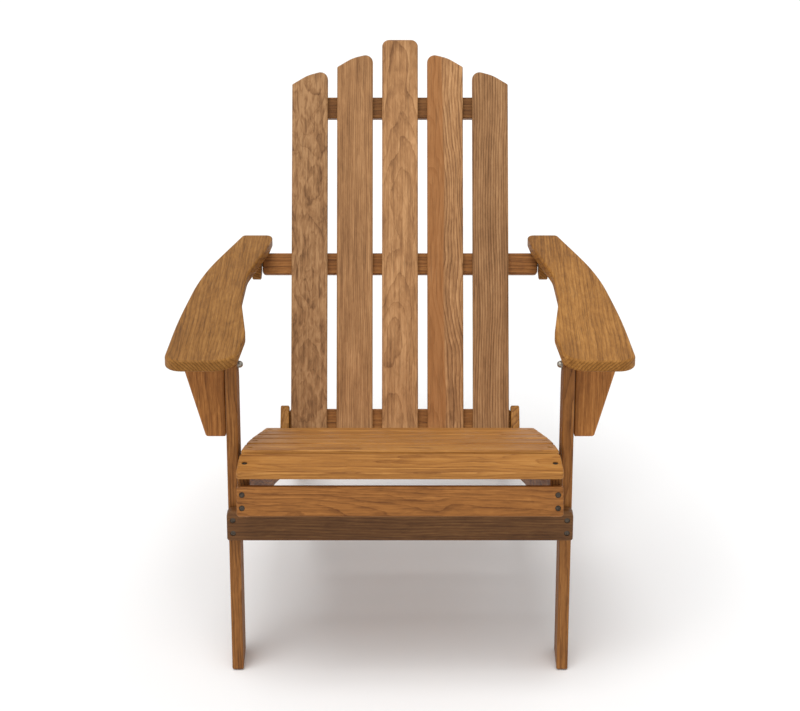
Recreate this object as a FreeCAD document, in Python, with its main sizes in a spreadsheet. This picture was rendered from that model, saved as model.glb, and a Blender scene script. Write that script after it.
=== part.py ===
# Adirondack chair in solid wood that folds: a seat frame on its two long stringers, front legs
# joined by a cross rail, a slatted back and two wide arms.
# Side positions are measured as y from the front face of the front legs towards the rear and
# z up from the floor; shift() moves them so that the origin is under the middle of the chair.
import FreeCAD, Part
import Sketcher
import math
import os

App = FreeCAD
Vector = App.Vector
doc = App.newDocument("AdirondackChair")

# ---------------------------------------------------------------- driving dimensions (mm, degrees)
DIMENSIONS = [
    ("leg_thickness", 18), ("leg_depth", 72), ("leg_height", 532), ("leg_inner_half", 251.5),
    ("rail_height", 51), ("rail_thickness", 20), ("rail_bottom", 241), ("rail_half", 271),
    ("stringer_thickness", 19), ("stringer_outer_half", 250), ("stringer_front", -91.5),
    ("toe_in", 3.5), ("foot_front", 795), ("foot_rear", 862),
    ("apron_thickness", 15), ("apron_height", 46.5), ("apron_bottom", 321.4), ("apron_lean", 15),
    ("slat_width", 61), ("slat_thickness", 12), ("slat_gap", 14),
    ("seat_front", -100), ("seat_front_height", 395.6),
    ("depth_middle", 376.5), ("recline", 28), ("back_pitch", 76.7), ("back_face_offset", 15),
    ("back_rail_thickness", 20), ("back_rail_height", 36), ("ear_thickness", 14.5),
    ("ear_inner_half", 187), ("mid_rail_half", 233.5),
    ("arm_thickness", 19), ("arm_top", 556), ("bracket_thickness", 19), ("bracket_bottom", 399),
    ("bracket_inner_half", 271.7), ("block_thickness", 15.5), ("block_inner_half", 235.5),
    ("leg_pivot_y", 30), ("leg_pivot_z", 298), ("back_pivot_y", 345), ("back_pivot_z", 247),
    ("arm_bolt_y", 36), ("arm_bolt_z", 518), ("arm_pivot_up", 303),
    ("round_over", 2.5), ("arm_round_over", 4), ("recess_radius", 4.6), ("recess_depth", 3),
    ("head_radius", 4), ("head_height", 1.8), ("shank_radius", 2), ("screw_length", 26),
    ("bolt_radius", 4), ("bore_radius", 4.05), ("washer_radius", 8), ("washer_thickness", 1.5),
    ("dome_radius", 5.5), ("bolt_head_radius", 9), ("bolt_head_height", 3),
]
sheet = doc.addObject("Spreadsheet::Sheet", "Dims")
for row, (alias, value) in enumerate(DIMENSIONS, start=1):
    sheet.set("A%d" % row, alias.replace("_", " "))
    sheet.set("B%d" % row, str(value))
    sheet.setAlias("B%d" % row, alias)
doc.recompute()
size = dict(DIMENSIONS)

TOE = math.radians(size["toe_in"])
NOSE_LEAN = math.tan(math.radians(size["apron_lean"]))
RECLINE = math.radians(size["recline"])

# Board orientations: the outline is drawn in local x and y, the thickness runs along local z.
SIDEWAYS = App.Rotation(Vector(1, 1, 1), 120)       # outline in y and z, thickness along x
FACING_FRONT = App.Rotation(Vector(1, 0, 0), 90)    # outline in x and z, thickness to the front
LEANING = App.Rotation(Vector(1, 0, 0), 90 - size["recline"])
ALONG_X = App.Rotation(Vector(0, 1, 0), 90)         # a turned part's axis along x
SIDES = (("left", -1), ("right", 1))


def shift(x, y, z):
    return Vector(x, y - size["depth_middle"], z)


# ---------------------------------------------------------------- sketches and boards
def rounded_outline(corners):
    """Lines and arcs around a polygon whose corners are (x, y, corner radius)."""
    count = len(corners)
    starts, ends, mids = [], [], []
    for i in range(count):
        x, y, radius = corners[i]
        here = Vector(x, y, 0)
        before = Vector(corners[i - 1][0], corners[i - 1][1], 0) - here
        after = Vector(corners[(i + 1) % count][0], corners[(i + 1) % count][1], 0) - here
        before.normalize()
        after.normalize()
        half_angle = before.getAngle(after) / 2
        if radius == 0 or half_angle > math.radians(89.9):
            starts.append(here)
            ends.append(here)
            mids.append(None)
            continue
        tangent = radius / math.tan(half_angle)
        bisector = before + after
        bisector.normalize()
        starts.append(here + before * tangent)
        ends.append(here + after * tangent)
        mids.append(here + bisector * (radius / math.sin(half_angle) - radius))
    edges = []
    for i in range(count):
        if mids[i] is not None:
            edges.append(Part.Arc(starts[i], mids[i], ends[i]))
        edges.append(Part.LineSegment(ends[i], starts[(i + 1) % count]))
    return edges


def origin_plane(body, role):
    return [plane for plane in body.Origin.OriginFeatures if plane.Role == role][0]


def sketch_on(body, name, geometry):
    sketch = body.newObject("Sketcher::SketchObject", name)
    sketch.AttachmentSupport = (origin_plane(body, "XY_Plane"), [""])
    sketch.MapMode = "FlatFace"
    for piece in geometry:
        sketch.addGeometry(piece, False)
    return sketch


def rim_edges(shape, thickness):
    """Names of the edges around a board's two broad faces."""
    names = []
    for number, edge in enumerate(shape.Edges, start=1):
        levels = [vertex.Z for vertex in edge.Vertexes]
        for level in (0, thickness):
            if all(abs(z - level) < 1e-4 for z in levels):
                names.append("Edge%d" % number)
    return names


def round_pocket(body, name, places, radius_alias, thickness_alias, depth_alias=None):
    """Round holes sunk from the board's front face, or right through it."""
    circles = [Part.Circle(Vector(x, y, 0), Vector(0, 0, 1), size[radius_alias]) for x, y in places]
    sketch = sketch_on(body, name + "_sketch", circles)
    sketch.setExpression("AttachmentOffset.Base.z", "Dims." + thickness_alias)
    for index in range(len(places)):
        constraint = sketch.addConstraint(Sketcher.Constraint("Radius", index, size[radius_alias]))
        sketch.setExpression("Constraints[%d]" % constraint, "Dims." + radius_alias)
    pocket = body.newObject("PartDesign::Pocket", name)
    pocket.Profile = sketch
    if depth_alias:
        pocket.setExpression("Length", "Dims." + depth_alias)
    else:
        pocket.Type = 1
    before = pocket.BaseFeature.Shape.Volume if pocket.BaseFeature else None
    doc.recompute()
    if before is not None and pocket.Shape.Volume > before - 1:
        raise RuntimeError("nothing was cut from " + name)


def board(label, corners, thickness, rotation, base, recesses=(), bores=(), edge="round_over"):
    """One plank: padded outline with eased edges, screw recesses and bores."""
    body = doc.addObject("PartDesign::Body", label)
    outline = sketch_on(body, label + "_outline", rounded_outline(corners))
    pad = body.newObject("PartDesign::Pad", label + "_pad")
    pad.Profile = outline
    pad.setExpression("Length", "Dims." + thickness)
    doc.recompute()
    fillet = body.newObject("PartDesign::Fillet", label + "_eased")
    fillet.Base = (pad, rim_edges(pad.Shape, size[thickness]))
    fillet.setExpression("Radius", "Dims." + edge)
    doc.recompute()
    if recesses:
        round_pocket(body, label + "_recesses", recesses, "recess_radius", thickness, "recess_depth")
        round_pocket(body, label + "_pilots", recesses, "shank_radius", thickness)
    if bores:
        round_pocket(body, label + "_bores", bores, "bore_radius", thickness)
    body.Label = label
    body.Placement = App.Placement(base, rotation)
    return body


# ---------------------------------------------------------------- screws, bolts and washers
def cylinder(name, radius_alias, bottom, top, placement):
    rod = doc.addObject("Part::Cylinder", name)
    rod.setExpression("Radius", "Dims." + radius_alias)
    rod.Height = top - bottom
    rod.Placement = placement * App.Placement(Vector(0, 0, bottom), App.Rotation())
    return rod


def turned(name, steps, placement, dome_at=None):
    """A turned part from (radius alias, bottom, top) steps, with a domed end where asked."""
    pieces = []
    for number, (radius_alias, bottom, top) in enumerate(steps):
        pieces.append(cylinder("%s_step%d" % (name, number), radius_alias, bottom, top, placement))
    if dome_at is not None:
        dome = doc.addObject("Part::Sphere", name + "_dome")
        dome.setExpression("Radius", "Dims.dome_radius")
        dome.Angle1 = 0
        dome.Placement = placement * App.Placement(Vector(0, 0, dome_at), App.Rotation())
        pieces.append(dome)
    if len(pieces) == 1:
        return pieces[0]
    fused = doc.addObject("Part::MultiFuse", name)
    fused.Shapes = pieces
    return fused


def group(label, members):
    compound = doc.addObject("Part::Compound", label)
    compound.Links = members
    compound.Label = label
    return compound


def screw_set(label, seats):
    """Countersunk screws; each seat is (board, local x, local y, board thickness)."""
    members = []
    for number, (plank, x, y, thickness) in enumerate(seats):
        floor = thickness - size["recess_depth"]
        seat = plank.Placement * App.Placement(Vector(x, y, floor), App.Rotation())
        steps = [("head_radius", 0, size["head_height"]), ("shank_radius", -size["screw_length"], 0)]
        members.append(turned("%s_%d" % (label, number), steps, seat))
    return group(label, members)


def along_x(side, x, y, z):
    """Placement of a turned part whose local z points away from the chair's middle."""
    turn = ALONG_X if side > 0 else App.Rotation(Vector(0, 1, 0), -90)
    return App.Placement(shift(side * x, y, z), turn)


def low_side(side, inner, thickness):
    """Lower x of a board that stands between inner and inner + thickness from the middle."""
    return inner if side > 0 else -(inner + thickness)


nodes = []


# ---------------------------------------------------------------- seat frame
def stringer_half(y):
    return size["stringer_outer_half"] - math.tan(TOE) * (y - size["stringer_front"])


def seat_chain():
    """Front top edge and slope of each seat slat, from the front slat to the rear one."""
    slopes = (-4.7, 15, 18, 19.7, 19.7, 19.7)
    y, z = size["seat_front"], size["seat_front_height"]
    chain = []
    for number, slope in enumerate(slopes):
        angle = math.radians(slope)
        chain.append((y, z, angle))
        following = math.radians(slopes[min(number + 1, len(slopes) - 1)])
        between = (angle + following) / 2
        y += size["slat_width"] * math.cos(angle) + size["slat_gap"] * math.cos(between)
        z -= size["slat_width"] * math.sin(angle) + size["slat_gap"] * math.sin(between)
    return chain


def seat_support_points():
    """Points along the slats' undersides, front to rear, which the stringers follow."""
    points = []
    for y, z, angle in seat_chain():
        front_y = y - size["slat_thickness"] * math.sin(angle)
        front_z = z - size["slat_thickness"] * math.cos(angle)
        rear_y = front_y + size["slat_width"] * math.cos(angle)
        rear_z = front_z - size["slat_width"] * math.sin(angle)
        points.append((front_y, front_z))
        points.append((rear_y, rear_z))
    return points


def nose_y(z):
    """Depth of the stringers' front ends, which lean back together with the apron."""
    return size["stringer_front"] + (z - size["apron_bottom"]) * NOSE_LEAN


def stringer_corners():
    """Side outline: seat line on top, a notch for the cross rail below, and the rear foot."""
    support = seat_support_points()
    # the first slat slopes forward, so its seat is cut a little lower to clear the toed-in boards
    first_y, first_z = support[1][0], support[1][1] - 0.15
    support[1] = (first_y, first_z)
    slope = math.tan(-seat_chain()[0][2])
    gap = nose_y(first_z) - first_y
    front_top = first_z + slope * gap / (1 - slope * NOSE_LEAN)
    rail_top = size["rail_bottom"] + size["rail_height"]
    front = size["stringer_front"]
    rail_front = -size["rail_thickness"]
    outline = [
        (nose_y(317), 317, 10), (rail_front - 2, rail_top + 0.6, 3), (2, rail_top + 0.6, 1),
        (4.5, rail_top - 8, 3), (280, 199, 300), (570, 96, 600), (size["foot_front"], 0, 6),
        (size["foot_rear"] - 8, 0, 8), (size["foot_rear"], 32, 12), (600, 151, 700),
    ]
    outline += [(y, z, 0) for y, z in reversed(support[1:])]
    outline.append((nose_y(front_top), front_top, 3))
    return [((y - front) / math.cos(TOE), z, radius) for y, z, radius in outline]


def build_stringers():
    for name, side in SIDES:
        outer = size["stringer_outer_half"]
        thickness = size["stringer_thickness"]
        front = size["stringer_front"]
        turn = App.Rotation(Vector(0, 0, 1), side * size["toe_in"])
        if side > 0:
            base = shift(outer - thickness * math.cos(TOE), front - thickness * math.sin(TOE), 0)
        else:
            base = shift(-outer, front, 0)
        nodes.append(board("stringer_" + name, stringer_corners(), "stringer_thickness",
                           turn * SIDEWAYS, base))


def build_seat_slats():
    seats = []
    for number, (y, z, angle) in enumerate(seat_chain(), start=1):
        front_half = stringer_half(y)
        rear_half = stringer_half(y + size["slat_width"] * math.cos(angle))
        if number == 1:
            front_half = stringer_half(size["stringer_front"])
        width = size["slat_width"]
        corners = [(-front_half, 0, 5), (front_half, 0, 5), (rear_half, width, 7), (-rear_half, width, 7)]
        screw_x = (front_half + rear_half) / 2 - size["stringer_thickness"] / 2 - 1
        places = [(-screw_x, width / 2), (screw_x, width / 2)]
        under_y = y - size["slat_thickness"] * math.sin(angle)
        under_z = z - size["slat_thickness"] * math.cos(angle)
        slat = board("seat_slat_%d" % number, corners, "slat_thickness",
                     App.Rotation(Vector(1, 0, 0), -math.degrees(angle)),
                     shift(0, under_y, under_z), recesses=places)
        nodes.append(slat)
        seats += [(slat, px, py, size["slat_thickness"]) for px, py in places]
    nodes.append(screw_set("seat_screws", seats))


def build_apron():
    half = size["stringer_outer_half"]
    tall = size["apron_height"]
    corners = [(-half, 0, 5), (half, 0, 5), (half, tall, 5), (-half, tall, 5)]
    places = [(side * (half - 8.5), level) for name, side in SIDES for level in (13, 33.5)]
    lean = App.Rotation(Vector(1, 0, 0), 90 - size["apron_lean"])
    clear = size["stringer_thickness"] * math.sin(TOE) + 0.1
    apron = board("front_apron", corners, "apron_thickness", lean,
                  shift(0, size["stringer_front"] - clear, size["apron_bottom"]), recesses=places)
    nodes.append(apron)
    nodes.append(screw_set("apron_screws", [(apron, x, y, size["apron_thickness"]) for x, y in places]))


def build_seat_bolts():
    """Pivot bolts of the legs and of the back, with the spacers that keep the legs off."""
    leg_bolts, back_bolts, spacers = [], [], []
    leg_outer = size["leg_inner_half"] + size["leg_thickness"]
    for name, side in SIDES:
        y, z = size["leg_pivot_y"], size["leg_pivot_z"]
        inner = stringer_half(y) - size["stringer_thickness"] - 1.4
        depth = inner - leg_outer
        steps = [("bolt_radius", depth - 3, -0.4), ("washer_radius", depth - 2, depth)]
        leg_bolts.append(turned("leg_bolt_" + name, steps, along_x(side, leg_outer, y, z)))
        ring = doc.addObject("Part::Cut", "spacer_" + name)
        start = stringer_half(y) + 0.9
        stop = size["leg_inner_half"] - 0.4
        ring.Base = cylinder("spacer_disc_" + name, "washer_radius", 0, stop - start,
                             along_x(side, start, y, z))
        ring.Tool = cylinder("spacer_hole_" + name, "bolt_radius", -1, stop - start + 1,
                             along_x(side, start, y, z))
        spacers.append(ring)
        y, z = size["back_pivot_y"], size["back_pivot_z"]
        face = stringer_half(y) + 0.9
        steps = [("bolt_radius", size["ear_inner_half"] - face, 0),
                 ("bolt_head_radius", 0, size["bolt_head_height"])]
        back_bolts.append(turned("back_bolt_" + name, steps, along_x(side, face, y, z)))
    nodes.append(group("leg_pivot_bolts", leg_bolts))
    nodes.append(group("leg_pivot_spacers", spacers))
    nodes.append(group("back_pivot_bolts", back_bolts))


# ---------------------------------------------------------------- front legs
def build_legs():
    depth, tall = size["leg_depth"], size["leg_height"]
    bolt_y, bolt_z = size["arm_bolt_y"], size["arm_bolt_z"]
    corners = [(0, 0, 4), (depth, 0, 4), (depth, 486, 30), (bolt_y + 16, tall, 15), (0, tall, 6)]
    for name, side in SIDES:
        nodes.append(board("leg_" + name, corners, "leg_thickness", SIDEWAYS,
                           shift(low_side(side, size["leg_inner_half"], size["leg_thickness"]), 0, 0),
                           bores=[(size["leg_pivot_y"], size["leg_pivot_z"])]))
    half, rail_tall = size["rail_half"], size["rail_height"]
    rail_corners = [(-half, 0, 4), (half, 0, 4), (half, rail_tall, 10), (-half, rail_tall, 10)]
    places = [(side * (half - 9.5), level) for name, side in SIDES for level in (13, 35)]
    rail = board("cross_rail", rail_corners, "rail_thickness", FACING_FRONT,
                 shift(0, 0, size["rail_bottom"]), recesses=places)
    nodes.append(rail)
    nodes.append(screw_set("rail_screws", [(rail, x, y, size["rail_thickness"]) for x, y in places]))
    bolts = []
    for name, side in SIDES:
        inner = along_x(-side, -size["leg_inner_half"], bolt_y, bolt_z)
        steps = [("bolt_radius", 0.5 - size["leg_thickness"], 0),
                 ("washer_radius", 0, size["washer_thickness"]), ("dome_radius", 0, 3)]
        bolts.append(turned("arm_bolt_" + name, steps, inner, dome_at=3))
    nodes.append(group("arm_bolts", bolts))


# ---------------------------------------------------------------- back
def back_point(x, up, out):
    """World point of the back: up along the slats from the pivot, out towards the sitter."""
    y = size["back_pivot_y"] + up * math.sin(RECLINE) - out * math.cos(RECLINE)
    z = size["back_pivot_z"] + up * math.cos(RECLINE) + out * math.sin(RECLINE)
    return shift(x, y, z)


def build_back_slats():
    half = size["slat_width"] / 2
    # height of the inner and the outer top corner of each slat above the pivot, middle slat first
    tops = {0: (687, 687), 1: (664, 640), 2: (635, 610)}
    rear = size["back_face_offset"] - size["slat_thickness"]
    for number in range(1, 6):
        column = number - 3
        inner_top, outer_top = tops[abs(column)]
        corners = [(-half, 6, 4), (half, 6, 4), (half, inner_top, 12), (-half, inner_top, 12)]
        if column:
            outward = 1 if column > 0 else -1
            corners[2:] = [(half * outward, outer_top, 3), (4.5 * outward, outer_top + 15.5, 60),
                           (-half * outward, inner_top, 13)]
            corners[:2] = [(-half * outward, 6, 4), (half * outward, 6, 4)]
        nodes.append(board("back_slat_%d" % number, corners, "slat_thickness", LEANING,
                           back_point(column * size["back_pitch"], 0, rear)))


def build_back_rails():
    tall = size["back_rail_height"]
    rear = size["back_face_offset"] - size["slat_thickness"] - size["back_rail_thickness"]
    rails = (("lower", size["ear_inner_half"], 19.5), ("middle", size["mid_rail_half"],
             size["arm_pivot_up"] - tall / 2), ("upper", 183, 553.5))
    seats = []
    for name, half, bottom in rails:
        corners = [(-half, 0, 6), (half, 0, 6), (half, tall, 6), (-half, tall, 6)]
        rail = board("back_rail_" + name, corners, "back_rail_thickness", LEANING,
                     back_point(0, bottom, rear))
        nodes.append(rail)
        for column in range(-2, 3):
            # screws driven from behind: a seat on a plane whose local z points to the rear
            for offset in (-13, 13):
                seats.append((column * size["back_pitch"] + offset, bottom + tall / 2, rear))
    members = []
    for number, (x, up, out) in enumerate(seats):
        place = App.Placement(back_point(x, up, out), LEANING * App.Rotation(Vector(1, 0, 0), 180))
        steps = [("head_radius", 0, 0.8), ("shank_radius", -size["screw_length"], 0)]
        members.append(turned("back_screw_%d" % number, steps, place))
    nodes.append(group("back_screws", members))


def build_ears():
    # outline in (distance behind the sitter's face, height) of the back, turned by the recline
    corners = [(-19, -16, 12), (18, -22, 16), (20, 40, 10), (14, 61, 9), (-9, 61, 9), (-22, 25, 25)]
    lean = App.Rotation(Vector(1, 0, 0), -size["recline"])
    for name, side in SIDES:
        base = shift(low_side(side, size["ear_inner_half"], size["ear_thickness"]),
                     size["back_pivot_y"], size["back_pivot_z"])
        nodes.append(board("back_ear_" + name, corners, "ear_thickness", lean * SIDEWAYS, base,
                           bores=[(0, 0)]))


def build_arm_pivots():
    """Bolts in the ends of the middle rail, on which the arms turn."""
    out = size["back_face_offset"] - size["slat_thickness"] - size["back_rail_thickness"] / 2
    members = []
    for name, side in SIDES:
        head = size["block_inner_half"] + size["block_thickness"] + 0.4
        centre = back_point(side * head, size["arm_pivot_up"], out)
        turn = along_x(side, 0, 0, 0).Rotation
        steps = [("bolt_radius", size["mid_rail_half"] - 28 - head, 0),
                 ("bolt_head_radius", 0, size["bolt_head_height"])]
        members.append(turned("arm_pivot_" + name, steps, App.Placement(centre, turn)))
    nodes.append(group("arm_pivot_bolts", members))
    return centre


# ---------------------------------------------------------------- arms
def arm_corners(side):
    """Plan outline of an arm board: broad rounded front, waist, narrow rear end."""
    outline = [
        (361, -42, 26), (251, -42, 42), (240.5, 75, 110), (254.5, 216, 300), (250.5, 328, 200),
        (220.5, 472, 90), (216, 518, 11), (268, 518, 8), (326, 330, 900), (350, 125, 2500),
    ]
    return [(side * x, y, radius) for x, y, radius in outline]


def build_arms(pivot):
    under = size["arm_top"] - size["arm_thickness"]
    for name, side in SIDES:
        nodes.append(board("arm_" + name, arm_corners(side), "arm_thickness", App.Rotation(),
                           shift(0, 0, under), edge="arm_round_over"))
        drop = under - size["bracket_bottom"]
        inner = size["bracket_inner_half"]
        corners = [(side * inner, 0, 3), (side * 303, 0, 5), (side * 341, drop, 0), (side * inner, drop, 0)]
        nodes.append(board("arm_bracket_" + name, corners, "bracket_thickness", FACING_FRONT,
                           shift(0, 27 + size["bracket_thickness"], size["bracket_bottom"])))
        # local outline of the block, around the pivot bolt
        pivot_z = pivot.z
        top = under - pivot_z
        block = [(-21, -23, 10), (22, -23, 10), (22, top, 0), (-21, top, 0)]
        base = Vector(low_side(side, size["block_inner_half"], size["block_thickness"]), pivot.y, pivot_z)
        nodes.append(board("arm_block_" + name, block, "block_thickness", SIDEWAYS, base,
                           bores=[(0, 0)]))


build_stringers()
build_seat_slats()
build_apron()
build_seat_bolts()
build_legs()
build_back_slats()
build_back_rails()
build_ears()
arm_pivot = build_arm_pivots()
build_arms(arm_pivot)

doc.recompute()
for item in doc.Objects:
    if "Invalid" in item.State or "Error" in item.State:
        raise RuntimeError("object in error: " + item.Name)
for node in nodes:
    if node.Shape.isNull() or not node.Shape.isValid():
        raise RuntimeError("bad shape: " + node.Label)

os.makedirs("parts", exist_ok=True)
for node in nodes:
    node.Shape.exportStep("parts/%s.step" % node.Label)
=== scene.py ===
# Looks of the folding adirondack chair: oiled solid wood, dull steel fasteners, a pale studio.
# Lengths are in metres; +Y runs to the rear of the chair and +Z up.
import math

import bpy
from mathutils import Euler, Matrix, Vector


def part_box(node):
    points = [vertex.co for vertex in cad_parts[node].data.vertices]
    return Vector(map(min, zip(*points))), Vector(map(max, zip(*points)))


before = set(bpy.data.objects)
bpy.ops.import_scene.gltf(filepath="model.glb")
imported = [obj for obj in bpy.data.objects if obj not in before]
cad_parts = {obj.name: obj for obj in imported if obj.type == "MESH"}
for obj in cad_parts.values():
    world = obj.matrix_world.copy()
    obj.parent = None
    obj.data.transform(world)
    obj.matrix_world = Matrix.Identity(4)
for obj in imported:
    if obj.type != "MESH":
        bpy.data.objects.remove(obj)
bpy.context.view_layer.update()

MM = 0.001

# board directions; slopes are in degrees, measured from the floor with the rear end lower
RECLINE = math.radians(28)
UP_THE_BACK = (0, math.sin(RECLINE), math.cos(RECLINE))
OUT_OF_BACK = (0, -math.cos(RECLINE), math.sin(RECLINE))
SEAT_SLOPES = (-4.7, 15, 18, 19.7, 19.7, 19.7)
STRINGER_SLOPE = math.radians(21)
ALONG_STRINGER = (0, math.cos(STRINGER_SLOPE), -math.sin(STRINGER_SLOPE))
SIDEWAYS = (1, 0, 0)
REARWARD = (0, 1, 0)
FORWARD = (0, -1, 0)
UPWARD = (0, 0, 1)

# light, middle and dark tone of each cut of timber, as display colours
TONES = {
    "seat": ((186, 134, 70), (162, 109, 50), (112, 66, 24)),
    "back": ((184, 139, 94), (158, 114, 72), (108, 71, 40)),
    "arm": ((180, 127, 62), (152, 102, 43), (104, 63, 21)),
    "frame": ((168, 114, 58), (142, 91, 42), (94, 54, 20)),
    # the rail tone is darker than the frame's as painted shade: it stands in for the shadow the front
    # apron casts on the cross rail
    "rail": ((142, 98, 54), (116, 76, 40), (78, 47, 22)),
}
HEARTWOOD = (160, 104, 54)
GRIME = (104, 72, 44)
BRIGHT_STEEL = (190, 184, 172)
DARK_STEEL = (96, 86, 76)

# how far each kind of structure moves the wood's colour from its light to its dark tone
FIBRE_WEIGHT = 1.5
FLECK_WEIGHT = 1.6
MOTTLE_WEIGHT = 1.9
PATCH_WEIGHT = 0.7
LATE_WEIGHT = 0.75
YEAR_WEIGHT = 0.22
RINGS_MEAN = 0.32
MIDDLE_PLACE = 0.42

CAMERA_PITCH = math.radians(22.5)
CAMERA_DISTANCE = 4.211
CAMERA_AIM = (0, -0.3765, 0.5475)
SENSOR_WIDTH_MM = 36
LENS_MM = 123.66

FLOOR_SIZE = 60
FLOOR_CENTRE = (0, 10, -0.001)
FLOOR_WHITE = (0.93, 0.93, 0.93, 1)
SURROUND_STRENGTH = 0.62
LAMP_DIRECTION = (0.15, 0.4, -1)
LAMP_SPREAD = 40
LAMP_STRENGTH = 1.9


def linear(red, green, blue, gain=1.0):
    """Linear opaque colour from 0-255 display values, made brighter or darker by gain."""
    def channel(value):
        value /= 255
        return value / 12.92 if value <= 0.04045 else ((value + 0.055) / 1.055) ** 2.4
    return (gain * channel(red), gain * channel(green), gain * channel(blue), 1)


def darker(colour, gain):
    return (*(gain * value for value in colour[:3]), 1)


# ---------------------------------------------------------------- node helpers
class Shader:
    """A new material and short ways to add its nodes and join them."""

    def __init__(self, name):
        self.material = bpy.data.materials.new(name)
        self.material.use_nodes = True
        self.nodes = self.material.node_tree.nodes
        self.links = self.material.node_tree.links
        self.nodes.clear()

    def add(self, kind, values=(), **settings):
        node = self.nodes.new(kind)
        for key, value in settings.items():
            setattr(node, key, value)
        for socket, value in dict(values).items():
            if isinstance(value, bpy.types.NodeSocket):
                self.links.new(value, node.inputs[socket])
            else:
                node.inputs[socket].default_value = value
        return node

    def math(self, operation, first, second=0.0, third=0.0, clamp=False):
        values = {0: first, 1: second, 2: third}
        return self.add("ShaderNodeMath", values, operation=operation, use_clamp=clamp).outputs[0]

    def noise(self, vector, stretch, offset, detail, roughness=0.5, distortion=0.0, scale=1.0):
        """Noise whose features are 1/stretch long along each of the vector's axes."""
        placed = self.add("ShaderNodeMapping", {"Vector": vector, "Scale": stretch, "Location": offset})
        values = {"Vector": placed.outputs["Vector"], "Scale": scale, "Detail": detail,
                  "Roughness": roughness, "Distortion": distortion}
        return self.add("ShaderNodeTexNoise", values).outputs["Fac"]

    def ramp(self, factor, stops, interpolation):
        node = self.add("ShaderNodeValToRGB", {0: factor})
        ramp = node.color_ramp
        ramp.interpolation = interpolation
        while len(ramp.elements) < len(stops):
            ramp.elements.new(0.5)
        for element, (place, colour) in zip(ramp.elements, stops):
            element.position = place
            element.color = colour
        return node.outputs["Color"]

    def levels(self, factor, stops):
        """Smooth curve through (place, grey level) stops."""
        return self.ramp(factor, [(place, (grey, grey, grey, 1)) for place, grey in stops], "EASE")

    def mix(self, factor, first, second):
        return self.add("ShaderNodeMix", {0: factor, 6: first, 7: second}, data_type="RGBA").outputs[2]

    def finish(self, colour, roughness, height, relief, depth, **values):
        """Principled surface with a bump, joined to the output."""
        bump = self.add("ShaderNodeBump", {"Strength": relief, "Distance": depth, "Height": height})
        values = {key.replace("_", " "): value for key, value in values.items()}
        values.update({"Base Color": colour, "Roughness": roughness, "Normal": bump.outputs[0]})
        surface = self.add("ShaderNodeBsdfPrincipled", values)
        self.add("ShaderNodeOutputMaterial", {"Surface": surface.outputs[0]})
        return self.material


# ---------------------------------------------------------------- wood
def growth_rings(shader, board, across, below, along, wave, seed, pith, ring, tilt, wander):
    """Where the year's dark late wood lies, and a value of its own for each year."""
    wave_below = shader.noise(board, (3.0, 3.0, 2.0), (0.7, seed, 0.4), 2.5, scale=2.6)
    shift_x = shader.math("MULTIPLY_ADD", wave, 0.030 * wander, pith[0] - 0.015 * wander)
    shift_y = shader.math("MULTIPLY_ADD", wave_below, 0.022 * wander, pith[1] - 0.011 * wander)
    lean_x = shader.math("MULTIPLY", along, tilt[0])
    lean_y = shader.math("MULTIPLY", along, tilt[1])
    log_x = shader.math("ADD", shader.math("ADD", across, lean_x), shift_x)
    log_y = shader.math("ADD", shader.math("ADD", below, lean_y), shift_y)
    square_x = shader.math("MULTIPLY", log_x, log_x)
    square_y = shader.math("MULTIPLY", log_y, log_y)
    radius = shader.math("SQRT", shader.math("ADD", square_x, square_y))
    unevenness = shader.noise(board, (90, 90, 18), (seed, 1.2, 3.3), 4.0, 0.6)
    years = shader.math("MULTIPLY_ADD", unevenness, 0.8, shader.math("DIVIDE", radius, ring * MM))
    season = shader.math("FRACT", years)
    late = shader.levels(season, [(0.0, 0.15), (0.5, 0.22), (0.84, 0.62), (0.94, 1.0), (1.0, 0.15)])
    number = shader.math("FLOOR", years)
    own = shader.add("ShaderNodeTexWhiteNoise", {"W": number}, noise_dimensions="1D")
    return late, own.outputs["Value"]


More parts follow.
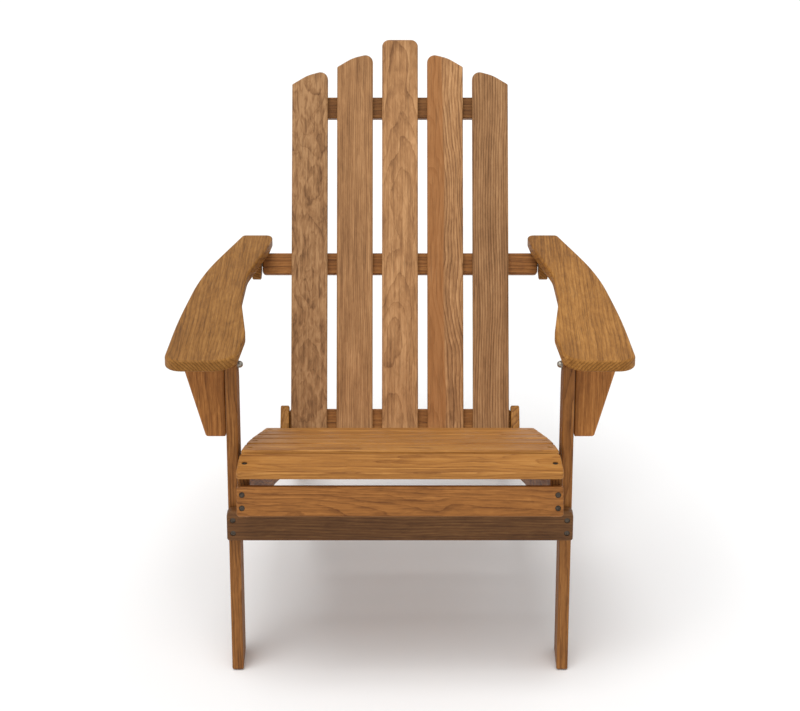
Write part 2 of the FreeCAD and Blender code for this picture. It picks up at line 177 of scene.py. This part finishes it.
def wood(name, grain, flat, centre, tone, seed, pith=(0.05, 0.03), ring=4.0, tilt=(0.0, 0.0),
         wander=1.0, contrast=1.0, figure=0.3, fleck=0.35, shade=1.0, heart_side=False):
    """Solid wood cut from a log whose pith runs beside the board.

    grain and flat are the board's length direction and face normal, and centre its middle. pith is
    how far the log's middle lies from the board's, across the face and below it; ring is the width
    of a year's growth in millimetres; tilt is how much the pith leans across the face and below
    it; wander, contrast, figure and fleck are the amounts of waviness, of ring contrast, of mottled
    figure and of short flecks; shade makes the tone lighter or darker.
    """
    shader = Shader(name)
    length = Vector(grain).normalized()
    out = Vector(flat).normalized()
    turn = Matrix((out.cross(length).normalized(), out, length)).transposed().to_euler()
    coords = shader.add("ShaderNodeTexCoord")
    placed = {"Vector": coords.outputs["Object"], "Location": centre, "Rotation": turn}
    board = shader.add("ShaderNodeMapping", placed, vector_type="TEXTURE").outputs["Vector"]
    across, below, along = shader.add("ShaderNodeSeparateXYZ", {0: board}).outputs

    wave = shader.noise(board, (2.2, 2.2, 1.4), (seed, 0.3, 0.1), 2.0, scale=2.2)
    late, year_tone = growth_rings(shader, board, across, below, along, wave, seed, pith, ring, tilt,
                                   wander)
    # pores are short dark dashes along the grain
    pores = shader.noise(board, (620, 620, 16), (2.0, seed, 0.6), 2.0, 0.6)
    pores = shader.levels(pores, [(0.0, 0.0), (0.53, 0.0), (0.70, 1.0)])
    fibres = shader.noise(board, (260, 260, 7), (seed, 2.0, 1.6), 5.0, 0.7)
    flecks = shader.noise(board, (150, 150, 40), (1.1, seed, 0.3), 3.0, 0.6, 1.2)
    mottle = shader.noise(board, (34, 34, 12), (seed, 0.4, 2.6), 4.0, 0.6, 1.5)
    patch = shader.noise(board, (5, 5, 2.4), (1.4, seed, 0.2), 2.0)

    light, middle, dark = (linear(*value, gain=shade) for value in TONES[tone])
    depth = shader.math("MULTIPLY", late, LATE_WEIGHT * contrast)
    depth = shader.math("MULTIPLY_ADD", fibres, FIBRE_WEIGHT, depth)
    depth = shader.math("MULTIPLY_ADD", flecks, FLECK_WEIGHT * fleck, depth)
    depth = shader.math("MULTIPLY_ADD", year_tone, YEAR_WEIGHT * contrast, depth)
    depth = shader.math("MULTIPLY_ADD", mottle, MOTTLE_WEIGHT * figure, depth)
    depth = shader.math("MULTIPLY_ADD", patch, PATCH_WEIGHT, depth)
    # every noise averages one half, so the mean depth is known and falls on the middle tone
    noise_mean = (FIBRE_WEIGHT + FLECK_WEIGHT * fleck + MOTTLE_WEIGHT * figure + PATCH_WEIGHT) / 2
    depth = shader.math("SUBTRACT", depth, noise_mean + RINGS_MEAN * contrast - MIDDLE_PLACE)
    colour = shader.ramp(depth, [(0.0, light), (MIDDLE_PLACE, middle), (1.0, dark)], "LINEAR")
    if heart_side:
        # redder, smoother heartwood along one side of the board
        inside = shader.math("SUBTRACT", across, 0.012)
        edge = shader.math("MULTIPLY_ADD", wave, 0.024, inside)
        side = shader.math("MULTIPLY", edge, 300.0, clamp=True)
        colour = shader.mix(shader.math("MULTIPLY", side, 0.75), colour, linear(*HEARTWOOD))
    colour = shader.mix(shader.math("MULTIPLY", pores, 0.34), colour, darker(dark, 0.42))

    # end grain, where the surface faces along the fibres, shows the rings strongly and is duller
    facing = shader.add("ShaderNodeVectorMath", {0: coords.outputs["Normal"], 1: length},
                        operation="DOT_PRODUCT").outputs["Value"]
    end = shader.math("POWER", shader.math("ABSOLUTE", facing), 3.0)
    colour = shader.mix(shader.math("MULTIPLY", end, 0.25), colour, middle)
    end_rings = shader.math("MULTIPLY", end, shader.math("MULTIPLY", late, 0.8))
    colour = shader.mix(end_rings, colour, darker(dark, 0.6))
    grime = shader.noise(board, (9, 9, 5), (0.2, 0.9, seed), 5.0, 0.62)
    grime = shader.levels(grime, [(0.0, 0.0), (0.52, 0.0), (0.75, 1.0)])
    colour = shader.mix(shader.math("MULTIPLY", grime, 0.16), colour, linear(*GRIME))

    rough = shader.math("MULTIPLY_ADD", fibres, 0.2, 0.46)
    rough = shader.math("MULTIPLY_ADD", end, 0.2, rough)
    rough = shader.math("MULTIPLY_ADD", grime, 0.08, rough)
    height = shader.math("MULTIPLY_ADD", late, 0.5, shader.math("MULTIPLY", pores, -0.9))
    height = shader.math("MULTIPLY_ADD", fibres, 0.6, height)
    return shader.finish(colour, rough, height, 0.35, 0.5 * MM, Specular_IOR_Level=0.22)


# ---------------------------------------------------------------- steel
def steel(name, tone, roughness):
    """Dull plated steel with stains and fine scratches."""
    shader = Shader(name)
    coords = shader.add("ShaderNodeTexCoord").outputs["Object"]
    stain = shader.noise(coords, (260, 260, 260), (0, 0, 0), 4.0, 0.6)
    scratch = shader.noise(coords, (300, 3800, 3800), (0, 0, 0), 2.0)
    light = linear(*tone)
    colour = shader.ramp(stain, [(0.3, darker(light, 0.45)), (0.65, light)], "EASE")
    rough = shader.math("MULTIPLY_ADD", stain, 0.25, roughness)
    return shader.finish(colour, rough, scratch, 0.25, 0.1 * MM, Metallic=1.0)


# ---------------------------------------------------------------- which board gets which cut
def dress(node, material):
    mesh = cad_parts[node].data
    mesh.materials.clear()
    mesh.materials.append(material)
    for polygon in mesh.polygons:
        polygon.material_index = 0


def dress_wood(node, grain, flat, **cut):
    low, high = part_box(node)
    dress(node, wood(node + "_wood", grain, flat, tuple((low + high) / 2), **cut))


BACK_CUTS = (
    dict(seed=1.3, pith=(0.004, 0.060), ring=3.6, wander=2.2, figure=0.55, contrast=0.5, fleck=1.3,
         shade=0.88),
    dict(seed=4.1, pith=(0.140, 0.060), ring=2.8, wander=0.5, figure=0.25, contrast=0.7, shade=1.1),
    dict(seed=7.7, pith=(-0.004, 0.055), ring=4.4, wander=1.7, figure=0.40, contrast=0.55, fleck=0.6,
         tilt=(0.03, 0.05), shade=1.18),
    dict(seed=2.6, pith=(-0.030, 0.040), ring=3.6, wander=1.7, figure=0.45, contrast=1.1, fleck=0.5,
         tilt=(0.0, 0.02), heart_side=True, shade=1.18),
    dict(seed=9.2, pith=(-0.160, 0.020), ring=4.4, wander=0.6, figure=0.30, contrast=1.2, shade=0.93),
)


def dress_back():
    for number, cut in enumerate(BACK_CUTS, start=1):
        dress_wood("back_slat_%d" % number, UP_THE_BACK, OUT_OF_BACK, tone="back", **cut)
    for name, seed, shade in (("lower", 1.7, 1.05), ("middle", 4.6, 1.05), ("upper", 7.5, 0.7)):
        dress_wood("back_rail_" + name, SIDEWAYS, OUT_OF_BACK, tone="frame", seed=seed,
                   pith=(0.04, 0.03), contrast=0.7, shade=shade)


def dress_seat():
    for number, slope in enumerate(SEAT_SLOPES, start=1):
        angle = math.radians(slope)
        mirrored = (-1) ** number
        dress_wood("seat_slat_%d" % number, SIDEWAYS, (0, math.sin(angle), math.cos(angle)),
                   tone="seat", seed=2.3 * number, pith=(0.015 * mirrored, 0.045 + 0.01 * (number % 3)),
                   ring=3.6 + 0.6 * (number % 2), tilt=(0.01, 0.012 * mirrored), wander=0.8,
                   figure=0.20, contrast=0.5, fleck=0.2, shade=1.16)
    dress_wood("front_apron", SIDEWAYS, FORWARD, tone="frame", seed=3.1, pith=(0.05, 0.07), ring=3.4,
               tilt=(0.01, 0.02), wander=0.8, figure=0.2, contrast=0.5, shade=1.18)
    # the cross rail's rail tone and shade 0.8 are painted shade, standing in for the front apron's
    # shadow on it
    dress_wood("cross_rail", SIDEWAYS, FORWARD, tone="rail", seed=5.9, pith=(-0.06, 0.06), ring=3.5,
               tilt=(0.0, -0.02), wander=0.6, contrast=0.6, shade=0.8)


def dress_sides():
    for side, sign in (("left", -1), ("right", 1)):
        seed = 4.4 + 3.0 * sign
        outward = (sign, 0, 0)
        dress_wood("arm_" + side, REARWARD, UPWARD, tone="arm", seed=seed, pith=(0.13 * sign, 0.11),
                   ring=4.4, tilt=(0.03, 0), wander=0.7, figure=0.4, contrast=0.55,
                   shade=0.98 + 0.1 * sign)
        # shade 1.5 is painted light: it makes the brackets brighter to offset the shade they sit in
        # under the arms
        dress_wood("arm_bracket_" + side, UPWARD, FORWARD, tone="frame", seed=seed + 1,
                   pith=(0.05, 0.05), ring=4.2, figure=0.4, contrast=0.4, shade=1.5)
        dress_wood("arm_block_" + side, REARWARD, outward, tone="arm", seed=seed + 2)
        dress_wood("leg_" + side, UPWARD, outward, tone="frame", seed=seed + 3, pith=(0.06, 0.03),
                   ring=3.8, figure=0.35, contrast=0.7)
        dress_wood("stringer_" + side, ALONG_STRINGER, outward, tone="frame", seed=seed + 4,
                   pith=(0.02, 0.05), ring=4.8)
        dress_wood("back_ear_" + side, UP_THE_BACK, outward, tone="arm", seed=seed + 5,
                   pith=(0.03, 0.02))


def dress_fasteners():
    bolt_steel = steel("bolt_steel", BRIGHT_STEEL, 0.28)
    screw_steel = steel("screw_steel", DARK_STEEL, 0.4)
    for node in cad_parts:
        if "screws" in node:
            dress(node, screw_steel)
        elif "bolts" in node or "spacers" in node:
            dress(node, bolt_steel)


# ---------------------------------------------------------------- studio
def lay_floor():
    """White floor just under the feet, in white surroundings."""
    bpy.ops.mesh.primitive_plane_add(size=FLOOR_SIZE, location=FLOOR_CENTRE)
    floor = bpy.context.object
    floor.name = "floor"
    paint = bpy.data.materials.new("floor_white")
    paint.use_nodes = True
    surface = paint.node_tree.nodes["Principled BSDF"]
    surface.inputs["Base Color"].default_value = FLOOR_WHITE
    surface.inputs["Roughness"].default_value = 0.9
    surface.inputs["Specular IOR Level"].default_value = 0.1
    floor.data.materials.append(paint)
    world = bpy.data.worlds.new("studio")
    bpy.context.scene.world = world
    world.use_nodes = True
    surround = world.node_tree.nodes["Background"]
    surround.inputs["Color"].default_value = (1, 1, 1, 1)
    surround.inputs["Strength"].default_value = SURROUND_STRENGTH


def hang_lamp():
    """A very broad light from above and a little from the front, as through a large diffuser."""
    lamp = bpy.data.lights.new("top_light", "SUN")
    lamp.angle = math.radians(LAMP_SPREAD)
    lamp.energy = LAMP_STRENGTH
    holder = bpy.data.objects.new("top_light", lamp)
    holder.rotation_euler = Vector(LAMP_DIRECTION).to_track_quat("-Z", "Y").to_euler()
    bpy.context.collection.objects.link(holder)


def place_camera():
    """Camera straight in front of the chair, looking down a little."""
    camera = bpy.data.cameras.new("camera")
    camera.sensor_width = SENSOR_WIDTH_MM
    camera.lens = LENS_MM
    camera.clip_end = 100
    holder = bpy.data.objects.new("camera", camera)
    away = Vector((0, -math.cos(CAMERA_PITCH), math.sin(CAMERA_PITCH)))
    holder.location = Vector(CAMERA_AIM) + away * CAMERA_DISTANCE
    holder.rotation_euler = Euler((math.pi / 2 - CAMERA_PITCH, 0, 0))
    bpy.context.collection.objects.link(holder)
    bpy.context.scene.camera = holder


dress_back()
dress_seat()
dress_sides()
dress_fasteners()
lay_floor()
hang_lamp()
place_camera()
bpy.context.scene.view_settings.view_transform = "Standard"
